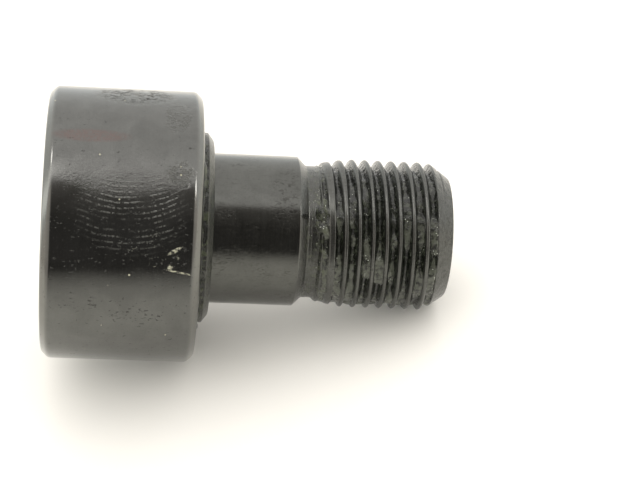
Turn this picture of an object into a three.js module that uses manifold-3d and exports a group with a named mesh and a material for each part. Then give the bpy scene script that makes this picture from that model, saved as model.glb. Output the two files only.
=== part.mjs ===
// Stud-type cam follower with a heavy stud: a hardened roller that runs on a full complement of needle rollers
// round a one-piece stud. Millimetres. The stud lies along +X and the origin is on its axis, in the plane where
// the end plate seats against the machine. The roller is on the -X side and the thread on the +X side.
import * as THREE from 'three';
import { mergeVertices } from 'three/addons/utils/BufferGeometryUtils.js';
import Module from 'manifold-3d';

const wasm = await Module();
wasm.setup();

const INCH = 25.4;

// ---- Driving dimensions ----

// Roller (outer ring)
const rollerDiameter = 1.125 * INCH;
const rollerWidth = 0.625 * INCH;
const rollerEdgeChamfer = 0.75;
const counterboreStep = 0.9; // counterbore above the raceway, on the radius
const counterboreDepth = 2.8;
const counterboreLead = 0.3;

// Stud
const studDiameter = 0.625 * INCH;
const studLength = 25.1; // nominally one inch, from the seat plane to the thread's end
const shankLength = 8.95; // full diameter, from the seat plane
const reliefDepth = 0.93; // of the thread relief, below the shank
const reliefWidth = 1.1; // flat bottom of the relief
const endChamferLength = 2.1;
const endChamferDepth = 1.5;
const raceStep = 0.52; // inner raceway above the shank, on the radius
const plateSeatStep = 0.17; // end plate's seat above the shank, on the radius
const headRecess = 0.37; // head face below the roller's face
const headEdge = 0.3;

// Thread
const threadsPerInch = 18;
const threadDepthShare = 0.61343; // depth of an external unified thread, as a share of its pitch
const rootFlatShare = 1 / 6; // flat bottom of the groove, as a share of the pitch
const mouthRise = 0.085; // the cutter's mouth above the crests
const crestTruncation = 0.05; // major radius below the shank's
const runoutLength = 3.2; // crests grow to full height over this length
const runoutStart = 0.35; // crest height above the relief's bottom where the thread begins
const threadTurn = THREE.MathUtils.degToRad(160); // where the groove starts, from +Y towards +Z

// Drive and lubrication in the stud
const hexAcrossFlats = 0.25 * INCH;
const hexDepth = 4.8;
const oilBore = 0.125 * INCH;
const crossBore = 2.4;
const cutOverrun = 1; // how far a bore's cutter passes the face it opens

// End plate
const plateRimStep = 2.1125; // rim above the shank, on the radius, and the same on the head's flange
const plateStandOut = 1.3; // outer face beyond the roller's face
const plateBevelLength = 0.6;
const plateBevelDepth = 0.8;

// Needle rollers
const needleDiameter = 2.5;
const needleEndChamfer = 0.25;

// Seals: a thrust disc with a collar that fills the gap round the flange and the end plate
const discThickness = 0.7;
const collarInset = 0.45; // collar's face below the roller's face
const collarLead = 0.25;

// Clearances
const raceClearance = 0.015; // on each side of a needle
const needleSideClearance = 0.03; // least, between neighbours
const needleEndClearance = 0.12;
const headDiscClearance = 0.025; // on each side of the seal's disc, at the head
const plateDiscClearance = 0.125; // on each side of the seal's disc, at the end plate
const discBoreClearance = 0.15; // seal's bore round the raceway
const collarClearance = 0.3; // collar round the flange and the end plate
const sealSeatClearance = 0.03; // seal in its counterbore
const pressGap = 0.02; // end plate on its seat

// Steps round each turned piece
const STUD_STEPS = 32;
const RING_STEPS = 80;
const PLATE_STEPS = 60;
const SEAL_STEPS = 60;
const NEEDLE_STEPS = 12;
const BORE_STEPS = 24;

// ---- Sizes that follow from them ----

const rollerR = rollerDiameter / 2;
const studR = studDiameter / 2;
const raceR = studR + raceStep;
const plateSeatR = studR + plateSeatStep;
const plateR = studR + plateRimStep;
const needleR = needleDiameter / 2;
const needlePitchR = raceR + raceClearance + needleR;
const boreR = (needlePitchR + needleR + raceClearance) / Math.cos(Math.PI / RING_STEPS);
const counterboreR = boreR + counterboreStep;
const needleCount = Math.floor(Math.PI / Math.asin((needleR + needleSideClearance / 2) / needlePitchR));

const rollerRight = -plateStandOut;
const rollerLeft = rollerRight - rollerWidth;
const shoulderRight = rollerRight - counterboreDepth;
const shoulderLeft = rollerLeft + counterboreDepth;
const headFace = rollerLeft + headRecess;
const headDiscLeft = shoulderLeft - headDiscClearance - discThickness;
const flangeInner = headDiscLeft - headDiscClearance;
const plateDiscRight = shoulderRight + plateDiscClearance + discThickness;
const plateInner = plateDiscRight + plateDiscClearance;
const needleLeft = headDiscLeft + discThickness + needleEndClearance;
const needleRight = plateDiscRight - discThickness - needleEndClearance;
const raceMiddle = (needleLeft + needleRight) / 2;

const pitch = INCH / threadsPerInch;
const reliefR = studR - reliefDepth;
const majorR = studR - crestTruncation;
const reliefStart = shankLength + reliefDepth;
const threadStart = reliefStart + reliefWidth;

// ---- Materials ----

const blackOxide = new THREE.MeshStandardMaterial({ color: 0x1c1d1e, roughness: 0.32, metalness: 0.9 });
const groundSteel = new THREE.MeshStandardMaterial({ color: 0xb9bcc0, roughness: 0.18, metalness: 1.0 });
const nitrile = new THREE.MeshStandardMaterial({ color: 0x141412, roughness: 0.7, metalness: 0.0 });

// ---- Helpers ----

// Turns a closed profile of [x, radius] points, listed clockwise with x to the right, round the X axis.
function turned(profile, steps) {
  const points = profile.map(([x, r]) => new THREE.Vector2(r, x));
  points.push(points[0].clone());
  return new THREE.LatheGeometry(points, steps).rotateZ(-Math.PI / 2);
}

// A closed geometry as a manifold-3d solid, without the triangles that collapse on the axis.
function toSolid(geometry) {
  const bare = new THREE.BufferGeometry();
  bare.setAttribute('position', geometry.getAttribute('position'));
  bare.setIndex(geometry.getIndex());
  const merged = mergeVertices(bare, 1e-4);
  const index = merged.getIndex().array;
  const kept = [];
  for (let i = 0; i < index.length; i += 3) {
    const [a, b, c] = index.slice(i, i + 3);
    if (a !== b && b !== c && a !== c) kept.push(a, b, c);
  }
  const vertProperties = new Float32Array(merged.getAttribute('position').array);
  return new wasm.Manifold(new wasm.Mesh({ numProp: 3, vertProperties, triVerts: new Uint32Array(kept) }));
}

function toGeometry(solid) {
  const { vertProperties, triVerts } = solid.getMesh();
  const geometry = new THREE.BufferGeometry();
  geometry.setAttribute('position', new THREE.BufferAttribute(vertProperties, 3));
  geometry.setIndex(new THREE.BufferAttribute(triVerts, 1));
  geometry.computeVertexNormals();
  return geometry;
}

// A bar of constant section wound into a right-hand helix round the X axis. The section is a list of
// [axial offset, radius] points, anticlockwise with x to the right.
function helicalBar(section, start, turns, stepsPerTurn) {
  const rows = Math.round(turns * stepsPerTurn);
  const around = section.length;
  const positions = [];
  for (let i = 0; i <= rows; i++) {
    const turn = i / stepsPerTurn;
    const angle = 2 * Math.PI * turn;
    for (const [offset, radius] of section) {
      positions.push(start + pitch * turn + offset, radius * Math.cos(angle), radius * Math.sin(angle));
    }
  }
  const index = [];
  for (let i = 0; i < rows; i++) {
    for (let j = 0; j < around; j++) {
      const a = i * around + j;
      const b = i * around + ((j + 1) % around);
      index.push(a, b, a + around, b, b + around, a + around);
    }
  }
  const last = rows * around;
  for (let j = 1; j < around - 1; j++) {
    index.push(0, j + 1, j);
    index.push(last, last + j, last + j + 1);
  }
  const geometry = new THREE.BufferGeometry();
  geometry.setAttribute('position', new THREE.Float32BufferAttribute(positions, 3));
  geometry.setIndex(index);
  return geometry;
}

const follower = new THREE.Group();

function add(name, geometry, material) {
  const mesh = new THREE.Mesh(geometry, material);
  mesh.name = name;
  follower.add(mesh);
  return mesh;
}

// ---- Stud: head flange, inner raceway, end plate's seat, shank, thread relief and thread in one piece ----

function studBlank() {
  return turned([
    [headFace, 0],
    [headFace, plateR - headEdge],
    [headFace + headEdge, plateR],
    [flangeInner, plateR],
    [flangeInner, raceR],
    [plateInner - pressGap, raceR],
    [plateInner - pressGap, plateSeatR],
    [-plateBevelLength, plateSeatR],
    [-plateBevelLength + plateSeatStep, studR],
    [shankLength, studR],
    [reliefStart, reliefR],
    [threadStart, reliefR],
    [threadStart + runoutStart, reliefR + runoutStart],
    [threadStart + runoutLength, majorR],
    [studLength - endChamferLength, majorR],
    [studLength, majorR - endChamferDepth],
    [studLength, 0],
  ], STUD_STEPS);
}

// The V that cuts the thread: 60 degrees, with the flat root of an external unified thread.
function threadCutter() {
  const outside = majorR + mouthRise;
  const rootR = studR - threadDepthShare * pitch;
  const halfRoot = rootFlatShare * pitch / 2;
  const halfMouth = halfRoot + (outside - rootR) * Math.tan(Math.PI / 6);
  const section = [
    [-halfRoot, rootR],
    [halfRoot, rootR],
    [halfMouth, outside],
    [-halfMouth, outside],
  ];
  const start = threadStart - pitch / 2;
  const turns = (studLength + pitch - start) / pitch;
  return helicalBar(section, start, turns, STUD_STEPS).rotateX(threadTurn);
}

// Broached hexagon in the head, with a flat bottom.
function hexSocket() {
  const cornerR = hexAcrossFlats / 2 / Math.cos(Math.PI / 6);
  const length = hexDepth + cutOverrun;
  const hex = new THREE.CylinderGeometry(cornerR, cornerR, length, 6).rotateZ(Math.PI / 2);
  return hex.translate(headFace + hexDepth - length / 2, 0, 0);
}

// From the thread's end to just past the cross bore.
function axialOilBore() {
  const end = raceMiddle - crossBore / 2 - cutOverrun;
  const length = studLength + cutOverrun - end;
  const bore = new THREE.CylinderGeometry(oilBore / 2, oilBore / 2, length, BORE_STEPS).rotateZ(Math.PI / 2);
  return bore.translate(end + length / 2, 0, 0);
}

// From the axis out through the raceway.
function crossOilBore() {
  const length = raceR + cutOverrun;
  const bore = new THREE.CylinderGeometry(crossBore / 2, crossBore / 2, length, BORE_STEPS);
  return bore.rotateX(Math.PI / 2).translate(raceMiddle, 0, length / 2);
}

const stud = toSolid(studBlank())
  .subtract(toSolid(threadCutter()))
  .subtract(toSolid(hexSocket()))
  .subtract(toSolid(axialOilBore()))
  .subtract(toSolid(crossOilBore()));
add('stud', toGeometry(stud), blackOxide);

// ---- End plate: a washer pressed on the stud, whose outer face is the seat against the machine ----

add('end_plate', turned([
  [plateInner, plateSeatR + pressGap],
  [plateInner, plateR],
  [-plateBevelLength, plateR],
  [0, plateR - plateBevelDepth],
  [0, plateSeatR + pressGap],
], PLATE_STEPS), blackOxide);

// ---- Roller: outer ring with its raceway between two counterbores ----

add('outer_ring', turned([
  [rollerLeft, counterboreR + counterboreLead],
  [rollerLeft, rollerR - rollerEdgeChamfer],
  [rollerLeft + rollerEdgeChamfer, rollerR],
  [rollerRight - rollerEdgeChamfer, rollerR],
  [rollerRight, rollerR - rollerEdgeChamfer],
  [rollerRight, counterboreR + counterboreLead],
  [rollerRight - counterboreLead, counterboreR],
  [shoulderRight, counterboreR],
  [shoulderRight, boreR],
  [shoulderLeft, boreR],
  [shoulderLeft, counterboreR],
  [rollerLeft + counterboreLead, counterboreR],
], RING_STEPS), blackOxide);

// ---- Seals: the same moulding at both ends, one of them turned round ----

// discFace is the disc's inward face, and outward is +1 or -1 along X.
function seal(name, discFace, outward, rollerFace) {
  const discOuter = discFace + outward * discThickness;
  const collarFace = rollerFace - outward * collarInset;
  const outerR = counterboreR - sealSeatClearance;
  const collarR = plateR + collarClearance;
  const profile = [
    [discFace, raceR + discBoreClearance],
    [discOuter, raceR + discBoreClearance],
    [discOuter, collarR],
    [collarFace, collarR],
    [collarFace, outerR - collarLead],
    [collarFace - outward * collarLead, outerR],
    [discFace, outerR],
  ];
  if (outward > 0) profile.reverse();
  return add(name, turned(profile, SEAL_STEPS), nitrile);
}

seal('head_side_seal', headDiscLeft + discThickness, -1, rollerLeft);
seal('stud_side_seal', plateDiscRight - discThickness, 1, rollerRight);

// ---- Needle rollers: a full complement, with no cage ----

function needle() {
  return turned([
    [needleLeft, 0],
    [needleLeft, needleR - needleEndChamfer],
    [needleLeft + needleEndChamfer, needleR],
    [needleRight - needleEndChamfer, needleR],
    [needleRight, needleR - needleEndChamfer],
    [needleRight, 0],
  ], NEEDLE_STEPS);
}

for (let i = 0; i < needleCount; i++) {
  const angle = (2 * Math.PI * i) / needleCount;
  const name = `needle_${String(i + 1).padStart(2, '0')}`;
  const roller = add(name, needle(), groundSteel);
  roller.position.set(0, needlePitchR * Math.cos(angle), needlePitchR * Math.sin(angle));
}

export default follower;
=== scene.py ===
# Stud-type cam follower, laid on a pale table so that it leans on its roller's rim and its thread's end.
# Metres, in the frame of the part: the stud along +X, and the origin on its axis in the plane of the end
# plate's outer face.
import math

import bmesh
import bpy
import numpy as np
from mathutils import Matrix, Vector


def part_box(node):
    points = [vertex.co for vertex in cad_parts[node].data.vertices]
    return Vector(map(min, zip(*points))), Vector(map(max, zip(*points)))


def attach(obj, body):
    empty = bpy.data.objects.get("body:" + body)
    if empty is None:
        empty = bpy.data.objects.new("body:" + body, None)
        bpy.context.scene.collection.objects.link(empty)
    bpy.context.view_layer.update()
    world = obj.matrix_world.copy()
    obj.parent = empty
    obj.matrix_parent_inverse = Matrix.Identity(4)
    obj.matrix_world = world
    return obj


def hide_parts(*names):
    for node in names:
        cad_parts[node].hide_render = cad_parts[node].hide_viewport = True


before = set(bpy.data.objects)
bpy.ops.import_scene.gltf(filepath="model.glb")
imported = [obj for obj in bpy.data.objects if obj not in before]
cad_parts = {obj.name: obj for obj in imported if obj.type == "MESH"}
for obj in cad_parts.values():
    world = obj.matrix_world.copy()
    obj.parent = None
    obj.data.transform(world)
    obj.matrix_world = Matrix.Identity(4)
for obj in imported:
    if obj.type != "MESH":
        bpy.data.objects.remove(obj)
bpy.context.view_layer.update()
mm = 0.001
inch_mm = 25.4


# ---- Camera ----
# A long lens a little in front of the follower and above it, looking down on the table. The stud's far end
# is a few degrees further away than the roller.
camera_place = (-9.0, -162.0, 110.79)  # millimetres
camera_turn = (55.437, -5.310, -3.697)  # degrees about X, Y and Z

lens = bpy.data.cameras.new("camera")
lens.sensor_width = 36.0
lens.lens = 103.96
lens.clip_start = 0.01
lens.clip_end = 20.0
camera = bpy.data.objects.new("camera", lens)
camera.location = [c * mm for c in camera_place]
camera.rotation_euler = [math.radians(a) for a in camera_turn]
bpy.context.scene.collection.objects.link(camera)
bpy.context.scene.camera = camera


# ---- Table ----
# A white table top. The follower's heavy end is the roller, but its weight lies just outside the roller's
# width, so it tips over until the crest of the last thread touches: the table is that much off its axis.

class Wire:
    """One output of a node. Arithmetic on it, with numbers or other wires, adds Math nodes."""

    def __init__(self, shade, socket):
        self.shade = shade
        self.socket = socket

    def __add__(self, other):
        return self.shade.math("ADD", self, other)

    def __radd__(self, other):
        return self.shade.math("ADD", other, self)

    def __sub__(self, other):
        return self.shade.math("SUBTRACT", self, other)

    def __rsub__(self, other):
        return self.shade.math("SUBTRACT", other, self)

    def __mul__(self, other):
        return self.shade.math("MULTIPLY", self, other)

    def __rmul__(self, other):
        return self.shade.math("MULTIPLY", other, self)

    def __truediv__(self, other):
        return self.shade.math("DIVIDE", self, other)

    def __rtruediv__(self, other):
        return self.shade.math("DIVIDE", other, self)

    def __pow__(self, other):
        return self.shade.math("POWER", self, other)


class Shade:
    """The node tree of one material, or of the world, and the maker of its nodes."""

    def __init__(self, tree):
        self.tree = tree
        tree.nodes.clear()

    def node(self, kind, settings=None, sockets=None):
        """Adds a node of a kind. Settings come first; then each socket takes its value or its wire."""
        made = self.tree.nodes.new(kind)
        for name, value in (settings or {}).items():
            setattr(made, name, value)
        for name, value in (sockets or {}).items():
            if isinstance(value, Wire):
                self.tree.links.new(value.socket, made.inputs[name])
            else:
                made.inputs[name].default_value = value
        return made

    def wire(self, node, output=0):
        return Wire(self, node.outputs[output])

    def math(self, operation, *values):
        node = self.node("ShaderNodeMath", {"operation": operation}, dict(enumerate(values)))
        return self.wire(node)

    def clamp(self, value):
        return self.math("MINIMUM", self.math("MAXIMUM", value, 0.0), 1.0)

    def step(self, low, high, value):
        """0 below low, 1 above high, and a smooth rise between them. It falls where low is above high."""
        rising = low < high
        sockets = {"Value": value, "From Min": min(low, high), "From Max": max(low, high)}
        made = self.node("ShaderNodeMapRange", {"interpolation_type": "SMOOTHSTEP"}, sockets)
        made.inputs["To Min"].default_value = 0.0 if rising else 1.0
        made.inputs["To Max"].default_value = 1.0 if rising else 0.0
        return self.wire(made)

    def object_mm(self):
        """The place on the piece, in millimetres."""
        coordinates = self.node("ShaderNodeTexCoord")
        return self.vector("SCALE", self.wire(coordinates, "Object"), 1.0 / mm)

    def vector(self, operation, first, second):
        """Vector Math on a wire and either another vector or, for SCALE, a number."""
        slot = "Scale" if operation == "SCALE" else 1
        node = self.node("ShaderNodeVectorMath", {"operation": operation}, {0: first, slot: second})
        return self.wire(node, "Value" if operation == "DOT_PRODUCT" else "Vector")

    def parts(self, vector):
        split = self.node("ShaderNodeSeparateXYZ", {}, {0: vector})
        return self.wire(split, 0), self.wire(split, 1), self.wire(split, 2)

    def noise(self, place, scale, detail=3.0, roughness=0.5, distortion=0.0):
        """Smooth noise from about 0 to 1. Scale is in turns per millimetre: one, or three for x, y and z."""
        if isinstance(scale, tuple):
            place = self.vector("MULTIPLY", place, scale)
            scale = 1.0
        sockets = {"Vector": place, "Scale": scale, "Detail": detail, "Roughness": roughness,
                   "Distortion": distortion}
        return self.wire(self.node("ShaderNodeTexNoise", {}, sockets), "Fac")

    def cells(self, place, scale):
        """Distance to the nearest of many scattered points."""
        node = self.node("ShaderNodeTexVoronoi", {}, {"Vector": place, "Scale": scale})
        return self.wire(node, "Distance")

    def mix(self, amount, first, second):
        """A colour that goes from the first to the second as amount goes from 0 to 1."""
        node = self.node("ShaderNodeMix", {"data_type": "RGBA"}, {0: amount, 6: first, 7: second})
        return self.wire(node, 2)

    def bump(self, height, distance):
        return self.wire(self.node("ShaderNodeBump", {}, {"Height": height, "Distance": distance}))

    def finish(self, shader):
        self.node("ShaderNodeOutputMaterial", {}, {"Surface": shader})


def new_shade(name):
    material = bpy.data.materials.new(name)
    material.use_nodes = True
    return material, Shade(material.node_tree)


ring_low, ring_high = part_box("outer_ring")
stud_low, stud_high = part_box("stud")
roller_r = ring_high[2]
roller_chamfer = 0.75 * mm
crest_r = 7.8875 * mm
chamfer_length = 2.1 * mm
chamfer_depth = 1.5 * mm
table_r = 230 * mm
table_edges = 96
table_gap = 0.03 * mm
fade_length = 70.0  # millimetres in front of the axis, where the table is half gone

rim_x = ring_high[0] - roller_chamfer
tip_x = stud_high[0] - chamfer_length
lean = math.atan2(roller_r - crest_r, tip_x - rim_x)


def table_top():
    """A flat disc: x and y run round a circle, and z rises from the rim's foot by the tangent of the lean."""
    around = np.linspace(0.0, 2 * math.pi, table_edges, endpoint=False)
    x = table_r * np.cos(around)
    y = table_r * np.sin(around)
    z = -roller_r - table_gap + (x - rim_x) * math.tan(lean)
    mesh = bpy.data.meshes.new("table")
    mesh.from_pydata(np.column_stack([x, y, z]).tolist(), [], [tuple(range(table_edges))])
    return bpy.data.objects.new("table", mesh)


table = table_top()
bpy.context.scene.collection.objects.link(table)

# White laminate. It is see-through from beneath, so a low view along the stud isn't shut in under it, and it
# fades out in front, where the dark side of the room begins.
material, shade = new_shade("table_white")
place = shade.object_mm()
grain = shade.noise(place, 0.09, detail=4.0)
white = shade.mix(grain, (0.95, 0.93, 0.86, 1.0), (0.97, 0.95, 0.89, 1.0))
top = shade.node("ShaderNodeBsdfPrincipled", {}, {
    "Base Color": white, "Roughness": 0.55, "Specular IOR Level": 0.3})
beneath = shade.wire(shade.node("ShaderNodeNewGeometry"), "Backfacing")
clear = shade.node("ShaderNodeBsdfTransparent")
ahead = shade.math("MAXIMUM", -1.0 * shade.parts(place)[1], 0.0) / fade_length
in_front = ahead * ahead / (1.0 + ahead * ahead)
away = shade.math("MAXIMUM", beneath, in_front)
shown = shade.node("ShaderNodeMixShader", {}, {0: away, 1: shade.wire(top), 2: shade.wire(clear)})
shade.finish(shade.wire(shown))
table.data.materials.append(material)


# ---- Light ----
# A soft lamp behind and above, on the roller's side, and a pale room that is dark only in front. What the
# steel mirrors of that dark part is the black band along its middle. Two small lamps make the grease glint,
# and more glints are painted on the stud's grease as small pale dots.
edge = math.radians(69.0)  # between straight up and the place where the pale part of the room starts
lamp_strength = 1.25
dark_front = 0.10
even_light = 1.45  # what matt surfaces get from all sides
small_lamps = (((-0.60, 0.10, 0.79), 8.0), ((0.62, -0.25, 0.74), 10.0))  # direction, and brightness

world = bpy.data.worlds.new("room")
world.use_nodes = True
bpy.context.scene.world = world
shade = Shade(world.node_tree)
direction = shade.wire(shade.node("ShaderNodeTexCoord"), "Generated")
x, _, z = shade.parts(direction)
behind = shade.vector("DOT_PRODUCT", direction, (0.0, math.sin(edge), math.cos(edge)))
sides = shade.math("MAXIMUM", shade.step(0.28, 0.55, x), shade.step(-0.30, -0.60, x))
lit = shade.math("MAXIMUM", shade.step(-0.07, 0.07, behind), 0.85 * sides)
lamp = shade.step(0.02, 0.10, behind) * shade.step(0.36, 0.18, behind) * shade.step(0.03, -0.04, x)
dim = shade.step(-0.55, -0.25, behind) + shade.step(-0.25, 0.0, behind)
ceiling = shade.step(-0.15, 0.75, z)
glow = lit * (1.02 + 0.06 * ceiling) + lamp_strength * lamp + dark_front + 0.11 * dim
for lamp_direction, brightness in small_lamps:
    nearness = shade.vector("DOT_PRODUCT", direction, lamp_direction)
    glow = glow + brightness * shade.step(0.990, 0.995, nearness)
path = shade.node("ShaderNodeLightPath")
mirrored = shade.wire(path, "Is Glossy Ray")
seen = shade.wire(path, "Is Camera Ray")
glow = glow * mirrored + even_light * (1.0 - mirrored)
warm = shade.mix(ceiling, (0.98, 1.0, 0.98, 1.0), (1.0, 0.970, 0.950, 1.0))
warm = shade.mix(shade.step(0.05, -0.10, behind) * mirrored, warm, (1.0, 0.93, 0.86, 1.0))
room = shade.node("ShaderNodeBackground", {}, {"Color": warm, "Strength": glow})
backdrop = shade.node("ShaderNodeBackground", {}, {"Color": (1.0, 1.0, 1.0, 1.0), "Strength": 1.0})
both = shade.node("ShaderNodeMixShader", {}, {0: seen, 1: shade.wire(room), 2: shade.wire(backdrop)})
shade.node("ShaderNodeOutputWorld", {}, {"Surface": shade.wire(both)})

key = bpy.data.lights.new("key", "SUN")
key.energy = 0.4
key.angle = math.radians(75.0)
key_light = bpy.data.objects.new("key", key)
key_light.rotation_euler = (math.radians(-26.0), math.radians(14.0), 0.0)
key_light.visible_glossy = False
bpy.context.scene.collection.objects.link(key_light)

bpy.context.scene.view_settings.view_transform = "Standard"
bpy.context.scene.view_settings.look = "None"


# ---- Stud ----
# One turned bar of hardened steel with a broached hexagon in its flanged head, the inner raceway, the end
# plate's seat, the ground shank, a relief and a right-hand 5/8-18 thread. It is blacked and oiled, and
# packing grease lies in the thread.

def rounded_profile(corners, arc_steps=5):
    """A polyline of (x, r, fillet) corners. Each is rounded by an arc that is tangent to both its sides."""
    corners = np.array(corners, float)
    points = [corners[0, :2]]
    for before, corner, after in zip(corners, corners[1:], corners[2:]):
        to_before = before[:2] - corner[:2]
        to_after = after[:2] - corner[:2]
        reach_before = np.linalg.norm(to_before)
        reach_after = np.linalg.norm(to_after)
        to_before, to_after = to_before / reach_before, to_after / reach_after
        half = math.acos(np.clip(to_before @ to_after, -1.0, 1.0)) / 2
        if corner[2] == 0.0 or half > math.radians(89.0):
            points.append(corner[:2])
            continue
        tangent = min(corner[2] / math.tan(half), 0.45 * reach_before, 0.45 * reach_after)
        radius = tangent * math.tan(half)
        bisector = (to_before + to_after) / np.linalg.norm(to_before + to_after)
        centre = corner[:2] + bisector * radius / math.sin(half)
        first = corner[:2] + to_before * tangent - centre
        last = corner[:2] + to_after * tangent - centre
        sweep = math.atan2(first[0] * last[1] - first[1] * last[0], first @ last)
        turn = np.linspace(0.0, sweep, arc_steps)[:, None]
        swung = first * np.cos(turn) + np.array([-first[1], first[0]]) * np.sin(turn)
        points.extend(centre + swung)
    points.append(corners[-1, :2])
    return np.array(points)


def turn_round(profile, columns):
    """Places of a profile of (x, r) rows turned round X: y is r times cosine, and z is r times sine."""
    angle = np.linspace(0.0, 2 * math.pi, columns, endpoint=False)
    x = np.repeat(profile[:, :1], columns, axis=1)
    y = profile[:, 1:] * np.cos(angle)
    z = profile[:, 1:] * np.sin(angle)
    return np.stack([x, y, z], axis=-1)


def skin(name, places, wrap_shift=0, closed_rows=False, attribute=None):
    """A mesh over a grid of places, rows by columns, that closes round its columns. wrap_shift joins the
    last column's row k to the first column's row k + wrap_shift, as on a screw."""
    rows, columns = places.shape[:2]
    index = np.arange(rows * columns).reshape(rows, columns)
    here = index[:-1]
    above = index[1:]
    quads = [np.stack([here[:, :-1], here[:, 1:], above[:, 1:], above[:, :-1]], axis=-1).reshape(-1, 4)]
    last = index[: rows - wrap_shift, -1]
    first = index[wrap_shift:, 0]
    quads.append(np.stack([last[:-1], first[:-1], first[1:], last[1:]], axis=-1))
    if closed_rows:
        end, start = index[-1], index[0]
        quads.append(np.stack([end, np.roll(end, -1), np.roll(start, -1), start], axis=-1))
    faces = np.concatenate(quads)
    mesh = bpy.data.meshes.new(name)
    mesh.from_pydata(places.reshape(-1, 3).tolist(), [], faces.tolist())
    if attribute is not None:
        layer = mesh.attributes.new(attribute[0], "FLOAT", "POINT")
        layer.data.foreach_set("value", attribute[1].reshape(-1).astype(np.float32))
    return weld(name, mesh)


def weld(name, mesh, sharp=32.0):
    """Merges doubled places, turns the faces outwards, and makes an object of the mesh. Its faces are smooth,
    and edges that turn by more degrees than sharp stay sharp."""
    shell = bmesh.new()
    shell.from_mesh(mesh)
    bmesh.ops.remove_doubles(shell, verts=shell.verts, dist=1e-7)
    bmesh.ops.dissolve_degenerate(shell, dist=1e-8, edges=shell.edges)
    bmesh.ops.recalc_face_normals(shell, faces=shell.faces)
    shell.to_mesh(mesh)
    shell.free()
    mesh.polygons.foreach_set("use_smooth", np.ones(len(mesh.polygons), bool))
    mesh.set_sharp_from_angle(angle=math.radians(sharp))
    piece = bpy.data.objects.new(name, mesh)
    bpy.context.scene.collection.objects.link(piece)
    return piece


def ripple(places, wavelength, seed, waves=24):
    """Smooth noise of about -1 to 1 at each place: a sum of cosine waves in random directions."""
    draw = np.random.default_rng(seed)
    direction = draw.normal(size=(waves, 3))
    direction /= np.linalg.norm(direction, axis=1)[:, None]
    pitch = wavelength * draw.uniform(0.6, 1.6, waves)
    phase = draw.uniform(0.0, 2 * math.pi, waves)
    height = np.zeros(places.shape[:-1])
    for way, length, start in zip(direction, pitch, phase):
        height += np.cos(places @ way * (2 * math.pi / length) + start)
    return height / math.sqrt(waves / 2)


def smooth_step(low, high, value):
    t = np.clip((value - low) / (high - low), 0.0, 1.0)
    return t * t * (3 - 2 * t)


def soft_least(a, b, width):
    """The smaller of two values, with their crossing rounded over a width."""
    h = np.clip(0.5 + 0.5 * (b - a) / width, 0.0, 1.0)
    return b * (1 - h) + a * h - width * h * (1 - h)


plate_low, plate_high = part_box("end_plate")
ring_columns = 192
rows_per_pitch = 22
front = math.radians(145.4)  # the side of the stud that is towards the front and up, from +Y towards +Z

shank_r = 7.9375 * mm
shank_end = 8.95 * mm
relief_r = shank_r - 0.93 * mm
relief_start = shank_end + 0.93 * mm
relief_end = relief_start + 1.1 * mm
first_crest = 0.35 * mm
run_out = 3.2 * mm
race_r = shank_r + 0.52 * mm
seat_r = shank_r + 0.17 * mm
flange_r = stud_high[2]
head_x = stud_low[0]
flange_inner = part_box("head_side_seal")[1][0] - 0.725 * mm
plate_inner = plate_low[0]
hexagon = 0.25 * inch_mm * mm
hexagon_depth = 4.8 * mm
oil_bore_r = 0.0625 * inch_mm * mm
pitch = inch_mm / 18 * mm
root_r = shank_r - 0.61343 * pitch
thread_turn = math.radians(160.0)


def head_to_relief(columns):
    """Rows from the socket's drill point, out through the hexagon, over the flange, along the raceway, seat
    and shank to the relief. In the socket the radius is that of a hexagon: half the width over the cosine of
    the angle to the nearest flat."""
    floor_x = head_x + hexagon_depth
    mouth_x = head_x + 0.35 * mm
    angle = np.linspace(0.0, 2 * math.pi, columns, endpoint=False)
    to_flat = np.mod(angle - math.pi / 2, math.pi / 3) - math.pi / 6
    hexagonal = hexagon / 2 / np.cos(to_flat)
    drilled = hexagon / 2 * 0.985
    corner_r = hexagon / 2 / math.cos(math.pi / 6)
    cone = rounded_profile([(floor_x + 1.3 * mm, 0, 0), (floor_x, drilled, 0)], 2)
    walls = [floor_x, floor_x - 0.05 * mm, head_x + 1.2 * mm, mouth_x + 0.18 * mm]
    outside = rounded_profile([
        (mouth_x, corner_r, 0), (head_x, corner_r + 0.35 * mm, 0.05 * mm),
        (head_x, flange_r - 0.3 * mm, 0.12 * mm), (head_x + 0.3 * mm, flange_r, 0.12 * mm),
        (flange_inner, flange_r, 0.12 * mm), (flange_inner, race_r, 0.1 * mm),
        (plate_inner - 0.02 * mm, race_r, 0.05 * mm), (plate_inner - 0.02 * mm, seat_r, 0.05 * mm),
        (-0.6 * mm, seat_r, 0.05 * mm), (-0.43 * mm, shank_r, 0.1 * mm),
        (shank_end, shank_r, 0.22 * mm), (relief_start, relief_r, 0.35 * mm),
        (relief_start + 0.3 * mm, relief_r, 0)])
    places = [turn_round(cone, columns)]
    for x in walls:
        row = np.stack([np.full(columns, x), hexagonal * np.cos(angle), hexagonal * np.sin(angle)], axis=-1)
        places.append(row[None])
    places.append(turn_round(outside, columns))
    return np.concatenate(places)


def blank_radius(x):
    """Radius of the bar before the thread is cut, along straight lines: the relief, the run-out's rise, the
    crest and the end chamfer."""
    xs = [relief_start, relief_end, relief_end + first_crest, relief_end + run_out, tip_x, stud_high[0]]
    rs = [relief_r, relief_r, relief_r + first_crest, crest_r, crest_r, crest_r - chamfer_depth]
    return np.interp(x, xs, rs)


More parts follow.
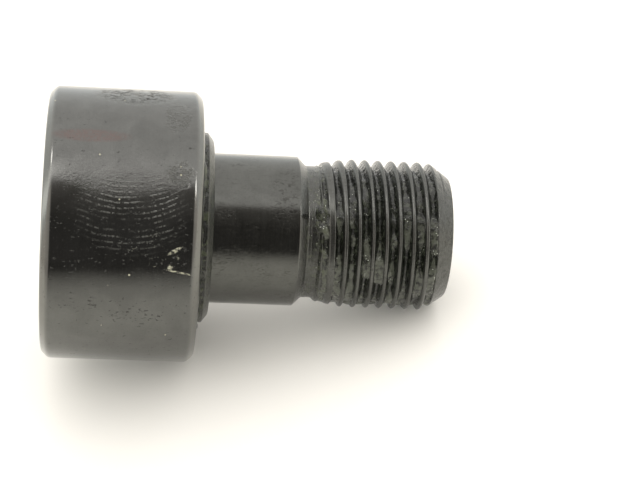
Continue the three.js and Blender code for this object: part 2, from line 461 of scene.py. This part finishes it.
def threaded(columns, start_x, end_x):
    """A screw surface: row k stands at start + pitch * (k / rows_per_pitch - 1 + turn), where turn is the
    part of a full turn, so that every row follows the helix. The radius is the lesser of the bar's and the
    groove's: a flat root with 60 degree flanks."""
    length = (end_x - start_x) / pitch
    rows = int(math.ceil(length + 1.0) * rows_per_pitch) + 1
    k = np.arange(rows)[:, None] / rows_per_pitch - 1.0
    turn = np.arange(columns)[None, :] / columns
    x = np.clip(start_x + pitch * (k + turn), start_x, end_x)
    angle = 2 * math.pi * turn + np.zeros_like(x)
    groove_start = relief_end - pitch / 2
    along = (x - groove_start) / pitch - (angle - thread_turn) / (2 * math.pi)
    off_centre = np.abs(along - np.round(along)) * pitch
    flank = root_r + (off_centre - pitch / 12) / math.tan(math.radians(30.0))
    groove = -soft_least(-flank, -np.full_like(x, root_r), 0.10 * mm)
    rounding = (0.04 + 0.18 * smooth_step(tip_x + 0.7 * mm, tip_x + 0.1 * mm, x)) * mm
    metal = soft_least(groove, blank_radius(x), rounding)
    ends = np.minimum(smooth_step(start_x, start_x + 0.1 * mm, x), smooth_step(end_x, end_x - 0.1 * mm, x))
    metal = metal * ends + blank_radius(x) * (1 - ends)
    return x, angle, metal, ends


# Thickness, x and half length in millimetres, angle past the front and half angle in radians.
relief_dabs = ((1.0, 11.2, 0.9, -0.18, 0.24), (0.8, 12.3, 0.7, 0.20, 0.40))


def grease_level(x, angle):
    """Radius of the grease's surface: patches in the thread's valleys that come and go, thickest on the lower
    front side, and two thick dabs on the relief, each a bell shape in x and in angle."""
    place = np.stack([x, shank_r * np.cos(angle), shank_r * np.sin(angle)], axis=-1)
    broad = ripple(place, 4.2 * mm, 11)
    fine = ripple(place, 1.7 * mm, 12)
    down = np.cos(angle - front - math.radians(38.0))
    fill = 0.30 * down + (0.10 + 0.16 * np.maximum(down, 0.0)) * broad + 0.06 * fine
    level = root_r + np.clip(fill, -0.3, 0.60) * mm
    level = np.minimum(level, blank_radius(x) - 0.10 * mm)
    level = np.where(x < relief_end, -1.0, level)
    dab = np.zeros(x.shape)
    for thickness, dab_x, half_length, turned, half_turn in relief_dabs:
        along = (x - dab_x * mm) / (half_length * mm)
        dab += thickness * np.exp(-along ** 2 - ((angle - front - turned) / half_turn) ** 2)
    dab *= smooth_step(relief_start + 0.35 * mm, relief_start + 1.0 * mm, x)
    lumps = relief_r + (0.60 * dab * (0.55 + 0.45 * fine) - 0.12) * mm
    return np.maximum(level, np.where(x < relief_end + 3.0 * mm, lumps, -1.0))


start_x = relief_start + 0.3 * mm
end_x = stud_high[0] - 0.02 * mm
head_places = head_to_relief(ring_columns)
x, angle, metal, ends = threaded(ring_columns, start_x, end_x)
grease = grease_level(x, angle)
radius = np.maximum(metal, metal + (grease - metal) * ends)
flank = smooth_step(0.20 * mm, 0.34 * mm, blank_radius(x) - metal)
filmed = 0.6 * flank * smooth_step(tip_x + 1.2 * mm, tip_x + 0.5 * mm, x)
covered = np.maximum(smooth_step(0.0, 0.05 * mm, grease - metal), filmed) * ends
screw_places = np.stack([x, radius * np.cos(angle), radius * np.sin(angle)], axis=-1)
bore_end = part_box("needle_01")[0][0] + 4.0 * mm
tip_r = blank_radius(end_x)
tip_profile = rounded_profile([
    (end_x, tip_r, 0), (stud_high[0], tip_r - 0.10 * mm, 0.02 * mm),
    (stud_high[0], oil_bore_r + 0.4 * mm, 0.03 * mm), (stud_high[0] - 0.4 * mm, oil_bore_r, 0.05 * mm),
    (bore_end, oil_bore_r, 0), (bore_end - 0.9 * mm, 0, 0)])
tip_places = turn_round(tip_profile, ring_columns)


def stud_piece():
    """The head, the screw surface and the tip as one closed shell: the three grids meet on shared rings."""
    meshes = []
    for places, shift, level in (
        (head_places, 0, np.zeros(head_places.shape[:2])),
        (screw_places, rows_per_pitch, covered),
        (tip_places, 0, np.zeros(tip_places.shape[:2])),
    ):
        meshes.append(skin("stud_part", places, shift, attribute=("grease", level)))
    shell = bmesh.new()
    for part in meshes:
        shell.from_mesh(part.data)
    mesh = bpy.data.meshes.new("stud_body_steel")
    shell.to_mesh(mesh)
    shell.free()
    for part in meshes:
        bpy.data.objects.remove(part)
    return weld("stud_steel", mesh, 34.0)


stud = stud_piece()
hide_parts("stud")
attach(stud, "stud_body")


def oiled_black(shade, place, base):
    """Blacked steel under a film of oil. Gives the colour, roughness and height of its fine texture: turning
    lines round the axis, blotches where the oil is thicker, and small pits."""
    lines = shade.noise(place, (9.0, 0.35, 0.35), detail=4.0, roughness=0.6)
    blotch = shade.noise(place, 0.33, detail=5.0, roughness=0.6, distortion=0.6)
    speckle = shade.noise(place, 5.5, detail=4.0, roughness=0.7)
    dark = (*[0.80 * c for c in base], 1.0)
    light = (*[1.16 * c for c in base], 1.0)
    amount = shade.clamp(0.5 + 0.35 * (lines - 0.5) + 1.5 * (blotch - 0.5) + 0.8 * (speckle - 0.5))
    colour = shade.mix(amount, dark, light)
    rough = 0.15 + 0.10 * (blotch - 0.5) + 0.10 * (lines - 0.5) + 0.06 * (speckle - 0.5)
    height = 0.5 * lines + 0.25 * speckle
    return colour, rough, height


def steel_shader(shade, colour, rough, normal):
    sockets = {"Base Color": colour, "Roughness": rough, "Metallic": 1.0, "Normal": normal}
    return shade.wire(shade.node("ShaderNodeBsdfPrincipled", {}, sockets))


black_grease = (0.004, 0.005, 0.003, 1.0)
green_grease = (0.034, 0.038, 0.026, 1.0)
# Thick grease's grey-green, partly its own colour and partly a painted reflection of the table.
packed_grease_and_table_reflection = (0.056, 0.060, 0.044, 1.0)
relief_grease = (0.056, 0.062, 0.036, 1.0)
# The colour of the painted glints on the grease.
painted_glint_colour = (0.48, 0.50, 0.42, 1.0)
oil_stain = (0.045, 0.045, 0.040, 1.0)

material, shade = new_shade("stud_black_oxide")
place = shade.object_mm()
colour, rough, height = oiled_black(shade, place, (0.112, 0.114, 0.106))
px = shade.parts(place)[0]
greasy = shade.wire(shade.node("ShaderNodeAttribute", {"attribute_name": "grease"}), "Fac")
mottle = shade.noise(place, 1.7, detail=5.0, roughness=0.65)
past_shank = shade.step(9.0, 9.9, px)
in_relief = past_shank * shade.step(12.4, 11.4, px)
thin_film = (0.35 + 0.65 * shade.step(0.42, 0.60, mottle)) * in_relief
on_chamfer = shade.step(22.8, 23.3, px) * (0.30 + 0.70 * shade.step(0.44, 0.56, mottle))
wet = shade.clamp(1.6 * greasy + 0.6 * thin_film + 0.62 * on_chamfer)
deep = shade.step(0.65, 1.0, greasy)
olive = shade.mix(shade.step(0.48, 0.66, mottle), black_grease, green_grease)
# Thick grease is painted pale in full only on the lower side, a quarter as much above: partly the grease's
# own grey-green, partly a painted reflection of the table below.
low_side = shade.vector("DOT_PRODUCT", place, (0.0, math.cos(front + 1.05), math.sin(front + 1.05)))
deep = deep * (0.25 + 0.75 * shade.step(1.5, 4.5, low_side))
olive = shade.mix(deep * shade.step(0.38, 0.54, mottle), olive, packed_grease_and_table_reflection)
olive = shade.mix(0.8 * in_relief * shade.step(0.50, 0.62, mottle), olive, relief_grease)
# Painted glints: small pale dots on the grease in the thread and the relief, standing in for highlights.
painted_glint = shade.step(0.19, 0.10, shade.cells(place, 3.1)) * shade.step(0.50, 0.56, shade.noise(place, 0.7))
olive = shade.mix(painted_glint * shade.clamp(greasy + in_relief), olive, painted_glint_colour)
streaks = shade.noise(place, (11.0, 0.22, 0.22), detail=3.0, roughness=0.7)
smear = shade.noise(place, (1.5, 3.2, 3.2), detail=4.0, roughness=0.7, distortion=1.2)
handled = shade.step(0.44, 0.62, shade.noise(place, 0.24, detail=2.0))
oil_mark = shade.step(0.52, 0.62, smear) * (0.25 + 0.75 * handled)
beads = shade.step(0.56, 0.64, shade.noise(place, (3.0, 2.2, 2.2), detail=3.0, roughness=0.6)) * handled
shank_colour = shade.mix(oil_mark * 0.7, colour, oil_stain)
uneven = height + 0.8 * streaks - 0.45 * oil_mark + 0.35 * beads
rough = rough + 0.22 * (streaks - 0.5) + 0.13 * past_shank
steel = steel_shader(shade, shank_colour, rough, shade.bump(uneven, 0.008 * mm))
lumps = shade.noise(place, 1.5, detail=2.0) + 0.35 * shade.noise(place, 4.5, detail=3.0, roughness=0.65)
grease_normal = shade.bump(lumps, 0.24 * mm)
grease_body = shade.wire(shade.node("ShaderNodeBsdfPrincipled", {}, {
    "Base Color": olive, "Roughness": 0.03 + 0.07 * mottle, "Normal": grease_normal, "IOR": 1.54}))
mixed = shade.node("ShaderNodeMixShader", {}, {0: wet, 1: steel, 2: grease_body})
shade.finish(shade.wire(mixed))
stud.data.materials.append(material)


# ---- End plate ----
# A turned steel washer pressed on its seat, blacked like the stud. Its rim stands out of the roller's side
# with a 45 degree bevel, and its outer face is what clamps against the machine.
plate_r = plate_high[2]
plate_profile = rounded_profile([
    (plate_inner, 0.5 * (seat_r + plate_r), 0), (plate_inner, plate_r, 0.15 * mm),
    (-0.6 * mm, plate_r, 0.12 * mm), (0.0, plate_r - 0.8 * mm, 0.12 * mm),
    (0.0, seat_r + 0.25 * mm, 0.08 * mm), (-0.23 * mm, seat_r + 0.02 * mm, 0.03 * mm),
    (plate_inner, seat_r + 0.02 * mm, 0.05 * mm), (plate_inner, 0.5 * (seat_r + plate_r), 0)], 6)
plate = skin("end_plate_steel", turn_round(plate_profile[:-1], 224), closed_rows=True)
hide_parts("end_plate")
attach(plate, "stud_body")

material, shade = new_shade("plate_black_oxide")
place = shade.object_mm()
colour, rough, height = oiled_black(shade, place, (0.118, 0.120, 0.108))
px = shade.parts(place)[0]
film = shade.noise(place, 1.1, detail=5.0, roughness=0.7, distortion=0.8)
steel = steel_shader(shade, colour, rough + 0.06, shade.bump(height, 0.008 * mm))
olive = shade.mix(shade.step(0.48, 0.64, film), (0.006, 0.007, 0.005, 1.0), (0.040, 0.046, 0.024, 1.0))
grease_body = shade.wire(shade.node("ShaderNodeBsdfPrincipled", {}, {
    "Base Color": olive, "Roughness": 0.10 + 0.20 * film, "Normal": shade.bump(film, 0.25 * mm)}))
on_rim = shade.step(-0.50, -0.66, px + 0.25 * (film - 0.5))
amount = shade.math("MAXIMUM", on_rim, 0.45) * (0.45 + 0.55 * shade.step(0.36, 0.50, film))
shade.finish(shade.wire(shade.node("ShaderNodeMixShader", {}, {0: amount, 1: steel, 2: grease_body})))
plate.data.materials.append(material)


def grease_bead():
    """A ring of squeezed-out grease round the plate's rim, level with the roller's face. Its section is a
    circle, r = rim + size * (1 + cos t) and x = face + size * sin t, and size swells and shrinks along it."""
    angle = np.linspace(0.0, 2 * math.pi, 260, endpoint=False)[None, :]
    t = np.linspace(0.0, 2 * math.pi, 20, endpoint=False)[:, None]
    on_rim = np.stack([0 * angle, plate_r * np.cos(angle), plate_r * np.sin(angle)], axis=-1)
    swell = 0.27 + 0.09 * ripple(on_rim, 5.0 * mm, 21) + 0.045 * ripple(on_rim, 1.3 * mm, 22)
    size = np.clip(swell, 0.06, 0.42) * mm
    r = plate_r + 0.012 * mm + size * (1 + np.cos(t))
    x = ring_high[0] + size * np.sin(t)
    return skin("grease_bead", np.stack([x, r * np.cos(angle), r * np.sin(angle)], axis=-1), closed_rows=True)


bead = grease_bead()
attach(bead, "stud_body")
material, shade = new_shade("bead_grease")
place = shade.object_mm()
film = shade.noise(place, 1.3, detail=5.0, roughness=0.65, distortion=0.8)
colour = shade.mix(shade.step(0.46, 0.66, film), (0.008, 0.009, 0.006, 1.0), (0.052, 0.060, 0.030, 1.0))
grease = shade.node("ShaderNodeBsdfPrincipled", {}, {
    "Base Color": colour, "Roughness": 0.08 + 0.18 * film, "Normal": shade.bump(film, 0.2 * mm)})
shade.finish(shade.wire(grease))
bead.data.materials.append(material)


# ---- Thrust seals ----
# Two black rubber mouldings pressed in the roller's counterbores: a thin disc that the flange or plate
# runs on, and a collar that fills the gap round it.

def seal_piece(node, outward):
    """A closed L-shaped section turned round X, with a shallow groove in the collar's face. Outward is -1 at
    the head's side and 1 at the stud's."""
    low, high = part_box(node)
    outer = high[2]
    face, back = (low[0], high[0]) if outward < 0 else (high[0], low[0])
    bore = race_r + 0.15 * mm
    collar = flange_r + 0.30 * mm
    inner_step = back + outward * 0.7 * mm
    groove = -outward * 0.12 * mm
    middle = 0.5 * (collar + outer)
    profile = rounded_profile([
        (back, 0.5 * (bore + outer), 0), (back, bore, 0.1 * mm), (inner_step, bore, 0.1 * mm),
        (inner_step, collar, 0.12 * mm), (face, collar, 0.10 * mm), (face, middle - 0.24 * mm, 0.03 * mm),
        (face + groove, middle - 0.12 * mm, 0.03 * mm), (face + groove, middle + 0.12 * mm, 0.03 * mm),
        (face, middle + 0.24 * mm, 0.03 * mm), (face, outer - 0.25 * mm, 0.08 * mm),
        (face - outward * 0.25 * mm, outer, 0.08 * mm), (back, outer, 0.1 * mm),
        (back, 0.5 * (bore + outer), 0)], 4)
    piece = skin(node + "_rubber", turn_round(profile[:-1], 192), closed_rows=True)
    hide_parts(node)
    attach(piece, "roller_body")
    return piece


material, shade = new_shade("seal_black_rubber")
place = shade.object_mm()
mould = shade.noise(place, 4.0, detail=5.0, roughness=0.7)
oily = shade.step(0.42, 0.62, shade.noise(place, 0.5, detail=4.0, distortion=0.8))
colour = shade.mix(mould, (0.012, 0.012, 0.011, 1.0), (0.030, 0.030, 0.026, 1.0))
rubber = shade.node("ShaderNodeBsdfPrincipled", {}, {
    "Base Color": colour, "Roughness": 0.52 - 0.28 * oily, "Normal": shade.bump(mould, 0.012 * mm)})
shade.finish(shade.wire(rubber))
for node, outward in (("head_side_seal", -1), ("stud_side_seal", 1)):
    seal_piece(node, outward).data.materials.append(material)


# ---- Roller ----
# The outer ring: bearing steel, hardened, ground all over and blacked, with rounded rims. It has been
# handled with oily fingers, so the film on it carries ridge marks, smears and flecks of grease. The pale
# ridge marks are partly dried oil and partly painted highlights.
counterbore_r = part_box("head_side_seal")[1][2] + 0.03 * mm
ring_race_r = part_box("needle_01")[1][1] + 0.015 * mm
ring_left, ring_right = ring_low[0], ring_high[0]
counterbore_depth = 2.8 * mm
ring_middle = 0.5 * (ring_left + ring_right)
ring_profile = rounded_profile([
    (ring_middle, ring_race_r, 0), (ring_left + counterbore_depth, ring_race_r, 0.15 * mm),
    (ring_left + counterbore_depth, counterbore_r, 0.08 * mm),
    (ring_left + 0.3 * mm, counterbore_r, 0.08 * mm), (ring_left, counterbore_r + 0.3 * mm, 0.08 * mm),
    (ring_left, roller_r - roller_chamfer, 0.65 * mm), (ring_left + roller_chamfer, roller_r, 0.8 * mm),
    (ring_right - roller_chamfer, roller_r, 0.8 * mm), (ring_right, roller_r - roller_chamfer, 0.65 * mm),
    (ring_right, counterbore_r + 0.3 * mm, 0.08 * mm), (ring_right - 0.3 * mm, counterbore_r, 0.08 * mm),
    (ring_right - counterbore_depth, counterbore_r, 0.08 * mm),
    (ring_right - counterbore_depth, ring_race_r, 0.15 * mm), (ring_middle, ring_race_r, 0)], 8)
roller = skin("roller_steel", turn_round(ring_profile[:-1], 320), closed_rows=True)
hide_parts("outer_ring")
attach(roller, "roller_body")

ridge_spacing = 0.56  # millimetres
rust_brown = (0.155, 0.112, 0.103, 1.0)
scuff_black = (0.055, 0.055, 0.048, 1.0)
nick_black = (0.030, 0.030, 0.026, 1.0)
worn_edge = (0.20, 0.198, 0.180, 1.0)
# Dried oil on the fingerprint ridges; its paleness is partly a painted highlight.
dried_oil_and_ridge_highlight = (0.150, 0.150, 0.132, 1.0)
grease_fleck = (0.50, 0.48, 0.34, 1.0)
scraped_oil = (0.018, 0.018, 0.015, 1.0)

material, shade = new_shade("roller_black_oxide")
place = shade.object_mm()
px = shade.parts(place)[0]
colour, rough, height = oiled_black(shade, place, (0.137, 0.139, 0.132))
toward = shade.vector("DOT_PRODUCT", place, (0.0, math.cos(front), math.sin(front)))
upward = shade.vector("DOT_PRODUCT", place, (0.0, math.sin(front), -math.cos(front)))
arc = shade.math("ARCTAN2", upward, toward) * (roller_r / mm)
mark_x = px - ring_middle / mm
patchy = shade.noise(place, 0.45, detail=4.0, roughness=0.6)
gritty = shade.noise(place, 3.4, detail=4.0, roughness=0.7)


def patch(centre_x, centre_arc, half_x, half_arc, slope=0.0):
    """One inside an ellipse on the rolled-out surface, in millimetres, fading to nothing at its edge. The
    slope shears it: arc rises by that much for each millimetre along the axis."""
    along = mark_x - centre_x
    across = arc - centre_arc - slope * along
    return shade.step(1.15, 0.35, (along / half_x) ** 2.0 + (across / half_arc) ** 2.0)


thumb = patch(0.9, 1.3, 5.8, 4.6)
# Fingerprint ridges: raised in the bump and painted pale, partly as dried oil and partly as painted
# highlights along each ridge.
bend = 0.050 * mark_x * mark_x + 1.1 * (shade.noise(place, 0.16, detail=1.0) - 0.5)
wobble = 0.22 * (shade.noise(place, 0.8, detail=2.0) - 0.5)
ridge = shade.step(0.25, 1.0, shade.math("SINE", (arc - bend + wobble) * (2 * math.pi / ridge_spacing)))
broken = shade.step(0.38, 0.60, shade.noise(place, (3.4, 1.2, 1.2), detail=3.0, roughness=0.6))
ridge_film_and_highlight = ridge * broken * thumb * shade.step(0.36, 0.56, patchy)
wiped = patch(0.0, 5.5, 7.6, 3.2)
scuffed = patch(0.9, 17.0, 4.2, 2.6) + 0.45 * patch(5.2, 12.6, 1.7, 2.8) + 0.4 * patch(5.6, 5.2, 1.5, 1.6)
scuffed = shade.clamp(scuffed)
scuff = shade.step(0.50, 0.60, shade.noise(place, (1.7, 3.8, 3.8), detail=3.0, distortion=0.8)) * scuffed
pitted = 0.7 * patch(1.6, -10.2, 3.4, 1.5) + 0.7 * patch(-3.6, -8.6, 1.6, 1.2)
nick = shade.step(0.665, 0.70, shade.noise(place, (1.9, 3.6, 3.6), detail=3.0, roughness=0.6) + 0.10 * pitted)
rust = patch(-3.4, 9.3, 4.2, 0.9) * shade.step(0.25, 0.60, gritty)
speck = shade.step(0.085, 0.055, shade.cells(place, 0.62)) * shade.step(0.50, 0.56, patchy)
torn = shade.noise(place, (1.7, 2.4, 2.4), detail=4.0, roughness=0.7, distortion=1.4)
dab = patch(5.3, -2.5, 0.85, 0.26, 0.55) + patch(4.9, -4.2, 0.34, 0.36) + patch(5.8, -4.7, 1.5, 0.13, -0.18)
fleck = shade.step(0.40, 0.58, torn) * shade.clamp(dab)
fleck = shade.math("MAXIMUM", fleck, shade.step(0.60, 0.68, torn) * patch(3.6, -2.6, 3.4, 2.6) * 0.5)
colour = shade.mix(rust * 0.6, colour, rust_brown)
colour = shade.mix(scuff * 0.75, colour, scuff_black)
colour = shade.mix(nick * 0.7, colour, nick_black)
edge_wear = shade.step(7.0, 7.5, shade.math("ABSOLUTE", mark_x))
colour = shade.mix(edge_wear * 0.5, colour, worn_edge)
height = height + 1.6 * ridge_film_and_highlight - 12.0 * scuff - 3.0 * nick + (3.5 * wiped + 1.6 * thumb) * gritty
rough = rough + 0.05 * wiped + 0.05 * thumb
normal = shade.bump(height, 0.010 * mm)
steel = steel_shader(shade, colour, rough, normal)
pale = shade.mix(shade.clamp(fleck + speck), dried_oil_and_ridge_highlight, grease_fleck)
pale = shade.mix(scuff, pale, scraped_oil)
residue = shade.wire(shade.node("ShaderNodeBsdfPrincipled", {}, {
    "Base Color": pale, "Roughness": 0.34 + 0.2 * gritty + 0.2 * scuff, "Normal": normal}))
amount = shade.clamp(0.38 * ridge_film_and_highlight + 0.7 * fleck + 0.6 * speck + 0.8 * scuff)
shade.finish(shade.wire(shade.node("ShaderNodeMixShader", {}, {0: amount, 1: steel, 2: residue})))
roller.data.materials.append(material)


# ---- Needle rollers ----
# A full complement of bright ground needles with rounded ends, between the stud's raceway and the roller's.
material, shade = new_shade("needle_ground_steel")
place = shade.object_mm()
grind = shade.noise(place, (14.0, 1.5, 1.5), detail=4.0, roughness=0.6)
colour = shade.mix(grind, (0.48, 0.48, 0.47, 1.0), (0.66, 0.66, 0.65, 1.0))
shade.finish(steel_shader(shade, colour, 0.14 + 0.10 * grind, shade.bump(grind, 0.004 * mm)))

needle_r = 1.25 * mm
for node in sorted(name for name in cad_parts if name.startswith("needle_")):
    low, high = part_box(node)
    centre = 0.5 * (np.array(low) + np.array(high))
    profile = rounded_profile([
        (low[0], 0, 0), (low[0], needle_r - 0.25 * mm, 0.1 * mm), (low[0] + 0.25 * mm, needle_r, 0.25 * mm),
        (high[0] - 0.25 * mm, needle_r, 0.25 * mm), (high[0], needle_r - 0.25 * mm, 0.1 * mm),
        (high[0], 0, 0)])
    places = turn_round(profile, 40) + np.array([0.0, centre[1], centre[2]])
    piece = skin(node + "_steel", places)
    piece.data.materials.append(material)
    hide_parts(node)
    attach(piece, node)
